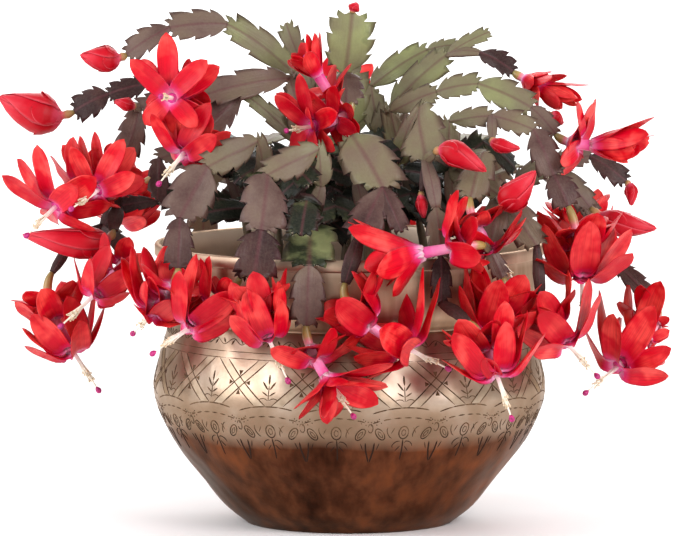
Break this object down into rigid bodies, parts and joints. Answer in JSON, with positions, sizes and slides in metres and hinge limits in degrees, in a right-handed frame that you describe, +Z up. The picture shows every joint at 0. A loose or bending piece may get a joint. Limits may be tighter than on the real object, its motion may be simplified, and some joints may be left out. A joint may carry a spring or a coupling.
{
  "type": "potted christmas cactus",
  "caption": "Christmas cactus in full bloom, with arching flat jointed stems and hanging red flowers, standing in soil in a wide engraved brass bowl.",
  "frame": {"origin": "centre of the bowl's flat base", "axes": "+Z up along the bowl's axis, +X to the plant's right seen from its best side, -Y towards that side"},
  "size_m": [0.4773, 0.3945, 0.3715],
  "materials": {
    "brass": "hand-beaten and engraved brass, softly polished, toned tan above and dark brown below",
    "soil": "dark moist potting soil with crumbs and bark",
    "leaf": "fleshy plant skin, waxy, olive green with purple-brown shading",
    "petal": "thin satin petals, scarlet with a magenta throat and a pink-white tube",
    "bud": "folded satin petals, pink-red, on a pale green ovary"
  },
  "bodies": {
    "root": {"pot": "brass", "soil": "soil", "stem_left_arch": "leaf", "bud_left_top": "bud", "stem_left_high": "leaf", "bloom_left_upper": "petal", "bloom_left_top": "petal", "stem_left_dark": "leaf", "bud_left_tip": "bud", "bud_left_small": "bud", "bloom_left_inner": "petal", "bud_left_long": "bud", "bloom_left_outer": "petal", "bloom_left_hanging": "petal", "bloom_left_rim": "petal", "stem_left_front": "leaf", "bloom_left_low": "petal", "stem_front_left": "leaf", "bloom_front_left": "petal", "bloom_front_far_left": "petal", "bloom_front_low": "petal", "stem_top": "leaf", "bud_top": "bud", "bloom_centre_upper": "petal", "bloom_centre_lower": "petal", "stem_front_centre": "leaf", "bloom_front_centre": "petal", "bud_centre_small": "bud", "bloom_front_right_low": "petal", "bud_right_front": "bud", "stem_right_arch": "leaf", "bloom_right_top": "petal", "stem_right_high": "leaf", "bloom_right_upper": "petal", "bud_right_small": "bud", "stem_right_front": "leaf", "bloom_right_centre": "petal", "bloom_right_inner": "petal", "bloom_right_low_small": "petal", "bloom_front_right": "petal", "bloom_front_wide": "petal", "bud_right_round": "bud", "bud_right_inner": "bud", "stem_right_side": "leaf", "bud_right_tip": "bud", "bud_right_long": "bud", "bloom_right_outer": "petal", "stem_back_left": "leaf", "bloom_back_far_left": "petal", "bloom_back_left": "petal", "bloom_side_left": "petal", "stem_back": "leaf", "bloom_back_centre": "petal", "bloom_back_high": "petal", "stem_back_right": "leaf", "bloom_back_far_right": "petal", "bloom_side_right": "petal"}
  },
  "joints": []
}
